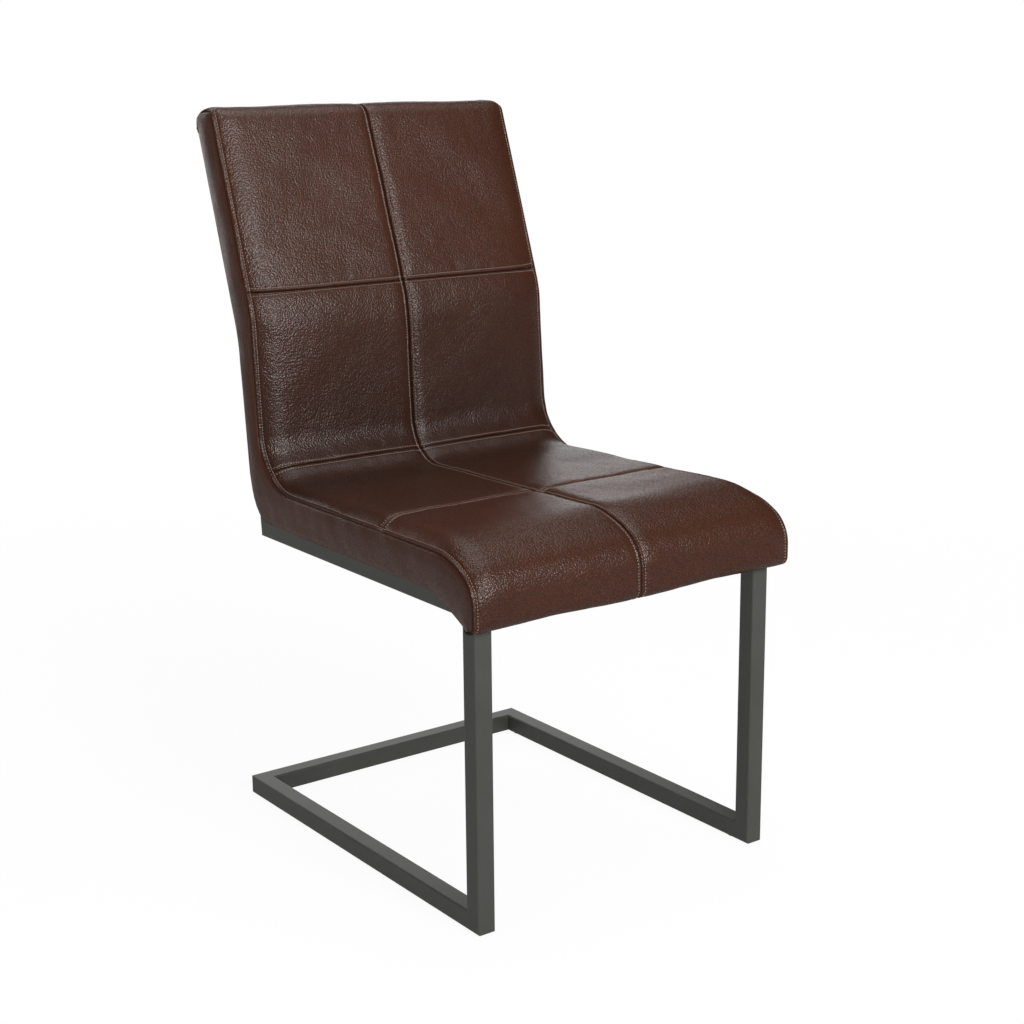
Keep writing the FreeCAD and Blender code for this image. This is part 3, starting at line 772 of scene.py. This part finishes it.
def panel_grid(first, last, settings):
    """Outer surface of one half panel in millimetres, its normals, how near each vertex is
    to a seam, and the places of the rows and columns."""
    start, end = CROSS_SEAMS[first], CROSS_SEAMS[last]
    rows = start + graded(end - start, NEAR, GRID_STEP)
    seam_y, seam_z = points_at(rows, SEAM_LINE, SEAM_LENGTHS)
    widths = half_width(seam_y) - top_draw(seam_z)
    places = np.array([column_places(width) for width in widths])
    columns = places.shape[1]
    grid = np.zeros((len(rows), columns, 3))
    for c in range(columns):
        inset = float(np.mean(widths - places[:, c]))
        x = float(np.mean(places[:, c]))
        line = dense_line(station_corners(inset, middle_draw(x)))
        grid[:, c, 0] = places[:, c]
        grid[:, c, 1], grid[:, c, 2] = points_at(rows, line, SEAM_LENGTHS)
    normals = unit(np.cross(np.gradient(grid, axis=1), np.gradient(grid, axis=0)))
    outward = normals[len(rows) // 2, columns // 2]
    if outward[1] > 0 and outward[2] < 0 or outward[2] < -0.5:
        normals = -normals
    insets = widths[:, None] - places
    cross = [distance[:, None] + 0 * places + (0 if sewn else FAR_AWAY) for distance, sewn in
             ((rows - rows[0], first > 0), (rows[-1] - rows, last < 4))]
    stitch = settings.seam_stitch_inset * 1000
    top = settings.topstitch_inset * 1000
    above_hem = rise(rows - rows[0], 0, HEM_FADE)[:, None] if first == 0 else 1.0
    depth = sum(seam_relief(distance, stitch) for distance in cross)
    depth += seam_relief(places, stitch) * (HEM_RELIEF + (1 - HEM_RELIEF) * above_hem)
    groove_depth, groove_width = SIDE_GROOVE
    depth += groove_depth * (1 - rise(insets, 0, groove_width)) ** 2 + bell(insets - top, *DIMPLE)
    nearest = np.minimum.reduce([*cross, places, insets - top + 6])
    pucker = np.exp(-np.clip(nearest, 0, None) / PUCKER_REACH)
    noise = smooth_noise(grid, 15.0, 5) * 0.3 * pucker + smooth_noise(grid, 110.0, 8) * 0.8
    noise += smooth_noise(grid, 45.0, 21) * 0.22
    noise *= np.clip(insets / 9.0, 0, 1) * np.clip(nearest / 3.0, 0, 1)
    grid = grid + normals * (noise - depth)[..., None]
    closest = np.minimum.reduce([*cross, places])
    pressed = np.minimum.reduce([np.abs(distance - stitch) for distance in (*cross, places)]
                                + [np.abs(insets - top)])
    # Mask of painted shade in the seam grooves, the pressed stitch rows and the side seam's
    # groove.
    seam = bell(closest, 1.0, 1.1) + bell(pressed, 0.75, 1.0) + np.exp(-(insets / 1.9) ** 4)
    return grid, normals, seam, rows, insets


def crease_strength(points):
    """How strongly the leather is creased at points in millimetres: nose and lower back."""
    y, z = points[..., 1], points[..., 2]
    nose = rise(z, 462, 437) * rise(y, 10, -5)
    lower_back = rise(z, 500, 540) * rise(z, 700, 640)
    beside = rise(np.abs(points[..., 0]), 90, 190)
    return 0.9 * nose + 0.8 * lower_back * beside * rise(y, 400, 430)


def grain_strength(points):
    """How strong the grain is at points in millimetres: smoother on the flat of the seat."""
    y, z = points[..., 1], points[..., 2]
    return 1 - 0.55 * rise(z, 520, 480) * rise(y, 20, 80)


def painted_hollow_shade(points):
    """How far points lie in the corner between seat and back, where painted shade darkens the
    leather.
    """
    distance = np.hypot(points[..., 1] - SEAT_CORNER_Y, points[..., 2] - RAIL_TOP - SEAT_SIDE_REAR)
    return np.clip(1.15 - distance / 270.0, 0, 1)


def folded(grid, normals, seam):
    """The grid with its four borders turned down into the seams."""
    for _ in ("rows", "columns"):
        ends = []
        for end, neighbour in ((0, 1), (-1, -2)):
            away = unit(grid[neighbour] - grid[end]) * SEAM_GAP
            ends.append([grid[end] + away * 1.6 - normals[end] * FOLD_DEPTH, grid[end] + away])
        grid = np.concatenate([ends[0], grid[1:-1], ends[1][::-1]])
        normals, seam = (np.concatenate([part[:1], part, part[-1:]]) for part in (normals, seam))
        grid, normals, seam = (part.swapaxes(0, 1) for part in (grid, normals, seam))
    return grid, seam


def add_stitches(key, points):
    STITCH_ROWS.setdefault(key, []).append(points)


def finish_leather(piece, name, thickness, settings):
    thicken(piece, thickness)
    finish_piece(piece, material_once("leather", leather_material, settings), "leather", name)


def make_panel(name, first, last, side, settings):
    """One half leather panel, with its stitch rows noted for the sewing."""
    grid, normals, seam, rows, insets = panel_grid(first, last, settings)
    stitch = settings.seam_stitch_inset * 1000
    top = settings.topstitch_inset * 1000
    lifted = (grid + normals * STITCH_LIFT) * np.array([side, 1, 1])

    def nearest(distances):
        return int(np.argmin(np.abs(distances)))
    add_stitches(("side", side), lifted[2:-2, nearest(insets[0] - top)])
    add_stitches(("middle", side), lifted[3:-3, nearest(grid[0, :, 0] - stitch)])
    if first > 0:
        row = nearest(rows - rows[0] - stitch)
        add_stitches(("cross", first, "after", side), lifted[row, 8:-5])
    if last < 4:
        row = nearest(rows[-1] - rows - stitch)
        add_stitches(("cross", last, "before", side), lifted[row, 8:-5])
    grid, seam = folded(grid, normals, seam)
    # The last value is the painted shade in the corner between seat and back.
    piece = leather_sheet(name, grid, side, seam, grain_strength(grid), crease_strength(grid),
                          painted_hollow_shade(grid))
    middle = Vector(to_frame((0, 540, 430)))
    point_outwards(piece, lambda place: place - middle)
    finish_leather(piece, name, SHEET_THICKNESS, settings)


def side_x(y, z):
    """x of the side panel's outer face: upright, then turned in towards the frame."""
    width = half_width(y)
    share = np.interp(y, [-28.0, NOSE_TOP_Y, 84.0], [0.02, 0.55, 1.0])
    turn_in = share * (width - FRAME_WIDTH / 2 - FRAME_CLEARANCE)
    below = np.clip((TURN_IN_Z - z) / TURN_IN_BEND, 0, None)
    ramp = np.where(below < 1, below ** 2 / 2, below - 0.5) * TURN_IN_BEND
    return width - turn_in * ramp / TURN_IN_HEIGHT - top_draw(z) - low_draw(y, z)


def side_panel_grid():
    """Side panel as rows from the hem or rear edge to the seam, in millimetres."""
    rear = rear_path()
    high = RAIL_TOP - SIDE_HEM_DROP
    hem_path = [SEAM_CORNERS[0], (HEM_FRONT_BEND_Y, high, HEM_FRONT_RADIUS),
                (rear[2][0], high, HEM_REAR_RADIUS), rear[1], rear[0]]
    hem_line = dense_line(hem_path)
    hem_lengths = lengths_along(hem_line)
    # Points of the side seam and of the hem that lie opposite each other
    pairs = [((30.0, 461.0), (60.0, 404.0)), ((184.0, 466.0), (184.0, 413.0)),
             ((457.0, 487.0), (488.0, 424.0)), ((482.0, 560.0), (516.0, 540.0)),
             (SEAM_CORNERS[8][:2], rear[1][:2]),
             (SEAM_CORNERS[10][:2], between(rear[0], rear[1], -8.0)[:2])]
    on_seam = [0.0] + [length_near(SEAM_LINE, SEAM_LENGTHS, a) for a, _ in pairs]
    on_hem = [0.0] + [length_near(hem_line, hem_lengths, b) for _, b in pairs]
    on_seam.append(SEAM_LENGTHS[-1])
    on_hem.append(hem_lengths[-1])
    count = int(SEAM_LENGTHS[-1] / GRID_STEP)
    lengths = np.linspace(0, SEAM_LENGTHS[-1], count)
    partner = np.interp(lengths, on_seam, on_hem)
    top = np.stack(points_at(lengths, SEAM_LINE, SEAM_LENGTHS), axis=1)
    hem = np.stack(points_at(partner, hem_line, hem_lengths), axis=1)
    shares = graded(1.0, [0.0, 0.008, 0.02, 0.04, 0.07, 0.11], 0.06)
    flat = hem[:, None] + shares[None, :, None] * (top - hem)[:, None]
    grid = np.dstack([side_x(flat[..., 0], flat[..., 1]), flat])
    return grid, shares


def make_side_panel(side, settings):
    """Leather side panel in one piece, softly bulged, its borders turned under."""
    grid, shares = side_panel_grid()
    height = np.linalg.norm(grid[:, -1] - grid[:, 0], axis=-1)[:, None]
    across = height * shares[None]
    back = height - across
    near = np.minimum(across, back)
    bulge = SIDE_BULGE * (1 - np.exp(-near / 12.0)) + bell(back - 3.6, 0.5, 1.3)
    bulge -= bell(back, 2.4, 1.9) + bell(across - HEM_STITCH_INSET, 0.5, 1.2)
    noise = smooth_noise(grid, 60.0, 3) * 0.5 + smooth_noise(grid, 24.0, 4) * 0.16
    grid[..., 0] += bulge + noise * np.clip(near / 8.0, 0, 1)
    # Mask of painted shade in the side seam's groove and the hem's stitch row.
    seam = np.exp(-(back / 2.1) ** 4) + bell(across - HEM_STITCH_INSET, 0.55, 0.8)
    inward = np.array([-FOLD_DEPTH, 0, 0])
    grid = np.concatenate([grid[:, :1] + inward, grid, grid[:, -1:] + inward], axis=1)
    seam = np.hstack([seam[:, :1], seam, seam[:, -1:]])
    name = "side_panel_" + ("left" if side > 0 else "right")
    piece = leather_sheet(name, grid, side, seam, 0.4)
    point_outwards(piece, lambda _: Vector((side, 0, 0)))
    finish_leather(piece, name, SHEET_THICKNESS, settings)


def make_rear_panel(settings):
    """Leather over the rear of the back, with the apron between the posts."""
    line = dense_line(rear_path())
    lengths = lengths_along(line)
    rows = np.linspace(0.6, lengths[-1], int(lengths[-1] / GRID_STEP))
    y, z = points_at(rows, line, lengths)
    widths = half_width(y) - top_draw(z) - low_draw(y, z)
    shares = graded(2.0, [0.0, 0.003, 0.008, 0.02], 0.0135) - 1
    grid = np.dstack(np.broadcast_arrays(widths[:, None] * shares, y[:, None], z[:, None]))
    inset = widths[:, None] * (1 - np.abs(shares))[None]
    rounding = rounded(2.2, rise(inset, 2.6, 0))
    top = bell(rows[:, None], 1.8, 3.0)
    noise = smooth_noise(grid, 130.0, 31) * 0.5 + smooth_noise(grid, 34.0, 32) * 0.12
    grid[..., 1] += noise * np.clip(inset / 12, 0, 1) - rounding - top - 0.4
    # Mask of painted shade along the rear panel's seams at its sides and top.
    seam = bell(inset, 1.0, 1.4) + bell(rows[:, None], 1.0, 1.5)
    apron = FRAME_WIDTH / 2 - TUBE_SIDE - REAR_SPACE
    low = RAIL_TOP + 30.0
    flat = grid.reshape(-1, 3)

    def kept(face):
        x, height = np.abs(flat[list(face), 0]).mean(), flat[list(face), 2].mean()
        return height > low or x < apron
    faces = [face for face in grid_faces(*grid.shape[:2]) if kept(face)]
    piece = leather_sheet("rear_panel", grid, 1, seam, 0.8, faces=faces)
    edit_mesh(piece.data, lambda shell: bmesh.ops.delete(
        shell, geom=[v for v in shell.verts if not v.link_faces], context="VERTS"))
    point_outwards(piece, lambda _: Vector((0, 1, 0)))
    finish_leather(piece, "rear_panel", REAR_SHEET_THICKNESS, settings)


def make_foam(node):
    """Foam pad: the CAD pad with its loose triangles joined, softened at its edges."""
    piece = add_object(node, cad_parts[node].data.copy())
    edit_mesh(piece.data, lambda shell: bmesh.ops.remove_doubles(
        shell, verts=shell.verts, dist=1e-5))
    modify(piece, "Even mesh", "REMESH", mode="VOXEL", voxel_size=0.006)
    modify(piece, "Soft edges", "SMOOTH", iterations=4, factor=0.5)
    modify(piece, "Pressed in", "DISPLACE", strength=-0.005, mid_level=0)
    applied(piece)
    for vertex in piece.data.vertices:
        draw = float(top_draw(vertex.co.z * 1000)) / REAR_HALF_WIDTH
        vertex.co.x *= 1 - draw
    piece.data.polygons.foreach_set("use_smooth", [True] * len(piece.data.polygons))
    finish_piece(piece, material_once("foam", foam_material), "foam", node)


def make_dust_cover():
    """Thin cloth under the seat, a little slack between its stapled borders."""
    low, high = (np.array(corner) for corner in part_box("dust_cover"))
    size = high - low
    u, v = np.meshgrid(*2 * [np.linspace(0, 1, CLOTH_POINTS)])
    ripple = np.sin(u * 23) * np.sin(v * 19 + u * 5)
    sag = CLOTH_SAG * np.sin(math.pi * u) * np.sin(math.pi * v) * (1 + 0.12 * ripple)
    points = np.stack([low[0] + u * size[0], low[1] + v * size[1],
                       high[2] - CLOTH_THICKNESS - sag], axis=-1)
    piece = new_piece("dust_cover", points.reshape(-1, 3), grid_faces(*u.shape))
    point_outwards(piece, lambda _: Vector((0, 0, -1)))
    thicken(piece, CLOTH_THICKNESS)
    finish_piece(piece, material_once("dust", dust_cloth_material), "dust_cloth", "dust_cover")


# Sewing thread by geometry nodes

def stitch_tree(material):
    """Node tree that lays one short thread at each pitch along the edges of a mesh."""
    tree = bpy.data.node_groups.new("stitch rows", "GeometryNodeTree")
    face = tree.interface
    face.new_socket("Geometry", in_out="INPUT", socket_type="NodeSocketGeometry")
    for name in ("Pitch", "Length", "Thickness"):
        face.new_socket(name, in_out="INPUT", socket_type="NodeSocketFloat")
    face.new_socket("Geometry", in_out="OUTPUT", socket_type="NodeSocketGeometry")
    nodes = Nodes(tree)
    geometry, pitch, length, thickness = nodes.outputs(
        "NodeGroupInput", "Geometry", "Pitch", "Length", "Thickness")
    curve = nodes.number("GeometryNodeMeshToCurve", {"Mesh": geometry})
    spaced = nodes.number("GeometryNodeResampleCurve", {"Curve": curve, "Length": pitch},
                          mode="LENGTH")
    tangent = nodes.number("GeometryNodeInputTangent")
    turned = nodes.number("FunctionNodeAlignRotationToVector", {"Vector": tangent}, axis="Z")
    ball = nodes.number("GeometryNodeMeshUVSphere", {"Segments": 6, "Rings": 5, "Radius": 0.5})
    scale = nodes.number("ShaderNodeCombineXYZ", {"X": thickness, "Y": thickness, "Z": length})
    threads = nodes.number("GeometryNodeInstanceOnPoints",
                           {"Points": spaced, "Instance": ball, "Rotation": turned,
                            "Scale": scale})
    whole = nodes.number("GeometryNodeRealizeInstances", {"Geometry": threads})
    smooth = nodes.number("GeometryNodeSetShadeSmooth", {"Geometry": whole})
    painted = nodes.number("GeometryNodeSetMaterial", {"Geometry": smooth, "Material": material})
    nodes.node("NodeGroupOutput", {"Geometry": painted})
    return tree


def joined_rows(kind):
    """Stitch rows of one kind, with rows that follow on joined."""
    return [np.concatenate(parts) for key, parts in STITCH_ROWS.items() if key[0] == kind]


def make_stitches(name, rows, settings):
    """Stitches along rows of points, as one plain mesh."""
    vertices, edges = [], []
    for row in rows:
        start = len(vertices)
        vertices += [tuple(p) for p in to_frame(row)]
        edges += [(start + i, start + i + 1) for i in range(len(row) - 1)]
    mesh = bpy.data.meshes.new(name)
    mesh.from_pydata(vertices, edges, [])
    piece = add_object(name, mesh)
    material = material_once("thread", thread_material, settings)
    tree = stitch_tree(material)
    sewing = piece.modifiers.new("Stitches", "NODES")
    sewing.node_group = tree
    for item in tree.interface.items_tree:
        if item.in_out == "INPUT" and item.name != "Geometry":
            sewing[item.identifier] = getattr(settings, item.name.lower())
    piece.update_tag()
    applied(piece)
    finish_piece(piece, material, "leather")


# Stage: the camera's place in millimetres of the drawing, its yaw, pitch and roll in degrees

CAMERA_PLACE = (-1380.9, -1648.2, 1021.8)
CAMERA_ANGLES = (36.182, 13.973, -0.508)
CAMERA_LENS = 64.99
# Each light's place, size, power and whether reflections show it
LIGHTS = {"front softbox": ((-0.1, -3.9, 2.3), (1.5, 1.4), 190, True),
          "front right fill": ((1.8, -2.4, 2.9), (2.2, 2.0), 24, False),
          "overhead softbox": ((0.3, 0.2, 3.0), (1.8, 1.8), 34, True),
          "rear softbox": ((0.6, 3.4, 1.3), (5.0, 2.2), 45, True),
          "left fill": ((-3.0, 0.2, 0.7), (2.4, 1.2), 28, False)}


def look_along(yaw, pitch, roll):
    """Camera rotation from its yaw to the right of +y, its pitch down and its roll."""
    return (Matrix.Rotation(-yaw, 4, "Z") @ Matrix.Rotation(math.pi / 2 - pitch, 4, "X")
            @ Matrix.Rotation(roll, 4, "Z"))


def add_camera():
    data = bpy.data.cameras.new("photo view")
    data.sensor_width = 36.0
    data.lens = CAMERA_LENS
    data.clip_end = 100
    camera = add_object("photo view", data)
    rotation = look_along(*(math.radians(angle) for angle in CAMERA_ANGLES))
    camera.matrix_world = Matrix.Translation(Vector(to_frame(CAMERA_PLACE))) @ rotation
    bpy.context.scene.camera = camera


def add_lights():
    """Area lights turned to the middle of the chair, all hidden from the camera."""
    middle = Vector(to_frame((0, 300, 550)))
    for name, (place, size, power, mirrored) in LIGHTS.items():
        data = bpy.data.lights.new(name, "AREA")
        data.shape = "RECTANGLE"
        data.size, data.size_y = size
        data.energy = power
        light = add_object(name, data)
        light.visible_camera = False
        light.visible_glossy = mirrored
        turned = (middle - Vector(place)).to_track_quat("-Z", "Y").to_matrix()
        light.matrix_world = Matrix.Translation(Vector(place)) @ turned.to_4x4()


def add_floor():
    """Floor that looks white to the camera and in reflections, and keeps the shadow."""
    shader = Shader("pale studio floor")
    seen, glossy, through = shader.outputs(
        "ShaderNodeLightPath", "Is Camera Ray", "Is Glossy Ray", "Is Transmission Ray")
    distance = shader.number("ShaderNodeVectorMath", {0: shader.place()}, "Value",
                             operation="LENGTH")

    def emission(strength):
        return shader.number("ShaderNodeEmission", {"Color": (1, 1, 1), "Strength": strength})
    pale = shader.number("ShaderNodeBsdfDiffuse", {"Color": (0.9, 0.9, 0.9)})
    photo_side = shader.blend(0.94 + shader.ramp(distance, 0.6, 2.2) * 0.06, pale,
                              emission(1.0))
    object_side = shader.blend(glossy + through, pale, emission(0.36))
    half = 14.0
    corners = [(-half, -half, 0), (half, -half, 0), (half, half, 0), (-half, half, 0)]
    floor = new_piece("studio_floor", corners, [(0, 1, 2, 3)])
    floor.data.materials.append(shader.output(shader.blend(seen, object_side, photo_side)))


def add_world():
    """Weak even light, weaker still in reflections, and white where the camera sees it."""
    world = bpy.data.worlds.new("studio")
    bpy.context.scene.world = world
    world.use_nodes = True
    nodes = Nodes(world.node_tree)

    def background(level):
        return nodes.number("ShaderNodeBackground", {"Color": (1, 1, 1), "Strength": level})
    glossy, seen = nodes.outputs("ShaderNodeLightPath", "Is Glossy Ray", "Is Camera Ray")
    unseen = nodes.blend(glossy, background(0.11), background(0.06))
    nodes.node("ShaderNodeOutputWorld", {"Surface": nodes.blend(seen, unseen, background(1.0))})


# Operators

class CHAIR_OT_seat_and_back(bpy.types.Operator):
    """Make the seat and back panels with their crown and sewn channels"""
    bl_idname = "chair.seat_and_back"
    bl_label = "Seat and back panels"

    def execute(self, context):
        settings = context.scene.chair_leather
        rows = {"seat_front_panel": (0, 1), "seat_rear_panel": (1, 2),
                "back_lower_panel": (2, 3), "back_upper_panel": (3, 4)}
        for word, side in (("left", 1), ("right", -1)):
            for name, (first, last) in rows.items():
                make_panel(name + "_" + word, first, last, side, settings)
        return {"FINISHED"}


class CHAIR_OT_side_panels(bpy.types.Operator):
    """Make the two side panels and the rear panel"""
    bl_idname = "chair.side_panels"
    bl_label = "Side and rear panels"

    def execute(self, context):
        settings = context.scene.chair_leather
        for side in (1, -1):
            make_side_panel(side, settings)
        make_rear_panel(settings)
        return {"FINISHED"}


class CHAIR_OT_padding(bpy.types.Operator):
    """Make the foam pads and the dust cover"""
    bl_idname = "chair.padding"
    bl_label = "Foam and dust cover"

    def execute(self, context):
        for node in ("seat_foam", "back_foam"):
            make_foam(node)
        make_dust_cover()
        return {"FINISHED"}


class CHAIR_OT_stitching(bpy.types.Operator):
    """Sew the rows of stitches beside the seams"""
    bl_idname = "chair.stitching"
    bl_label = "Stitching"

    def execute(self, context):
        settings = context.scene.chair_stitches
        for kind in ("side", "middle", "cross"):
            make_stitches(kind + "_seam_stitches", joined_rows(kind), settings)
        return {"FINISHED"}


class CHAIR_OT_hard_parts(bpy.types.Operator):
    """Give the frame, the boards, the fasteners and the glides their finishes"""
    bl_idname = "chair.hard_parts"
    bl_label = "Frame, boards and fasteners"

    def execute(self, context):
        finishes = [
            (("front_leg", "floor_rail", "seat_rail", "back_post", "seat_crossbar",
              "back_crossbar"), powder_coat_material(context.scene.chair_frame)),
            (("seat_board", "back_board"), plywood_material()),
            (("seat_screws", "seat_nuts", "back_screws", "back_nuts"), plated_steel_material()),
            (("glide",), glide_material())]
        for node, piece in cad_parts.items():
            for starts, material in finishes:
                if node.startswith(starts):
                    for slot in piece.material_slots:
                        slot.material = material
        return {"FINISHED"}


class CHAIR_OT_stage(bpy.types.Operator):
    """Set the pale floor, the studio light and the camera"""
    bl_idname = "chair.stage"
    bl_label = "Stage"

    def execute(self, context):
        context.scene.view_settings.view_transform = "Standard"
        add_floor()
        add_world()
        add_lights()
        add_camera()
        return {"FINISHED"}


class CHAIR_PT_panel(bpy.types.Panel):
    """Lists the steps and sizes of the chair"""
    bl_idname = "CHAIR_PT_panel"
    bl_label = "Cantilever chair"
    bl_space_type = "VIEW_3D"
    bl_region_type = "UI"
    bl_category = "Chair"

    def draw(self, context):
        layout = self.layout
        for operator in OPERATORS:
            layout.operator(operator.bl_idname)
        for group in ("chair_leather", "chair_stitches", "chair_frame"):
            box = layout.box()
            settings = getattr(context.scene, group)
            for name in settings.bl_rna.properties.keys():
                if name not in ("rna_type", "name"):
                    box.prop(settings, name)


SETTINGS = {"chair_leather": LeatherSettings, "chair_stitches": StitchSettings,
            "chair_frame": FrameSettings}
OPERATORS = [CHAIR_OT_seat_and_back, CHAIR_OT_side_panels, CHAIR_OT_padding,
             CHAIR_OT_stitching, CHAIR_OT_hard_parts, CHAIR_OT_stage]


def register():
    for name, settings in SETTINGS.items():
        bpy.utils.register_class(settings)
        setattr(bpy.types.Scene, name, bpy.props.PointerProperty(type=settings))
    for item in OPERATORS + [CHAIR_PT_panel]:
        bpy.utils.register_class(item)


def unregister():
    for item in [CHAIR_PT_panel] + OPERATORS[::-1]:
        bpy.utils.unregister_class(item)
    for name, settings in SETTINGS.items():
        delattr(bpy.types.Scene, name)
        bpy.utils.unregister_class(settings)


def main():
    register()
    bpy.ops.chair.seat_and_back()
    bpy.ops.chair.side_panels()
    bpy.ops.chair.padding()
    bpy.ops.chair.stitching()
    bpy.ops.chair.hard_parts()
    bpy.ops.chair.stage()


if __name__ == "__main__":
    main()
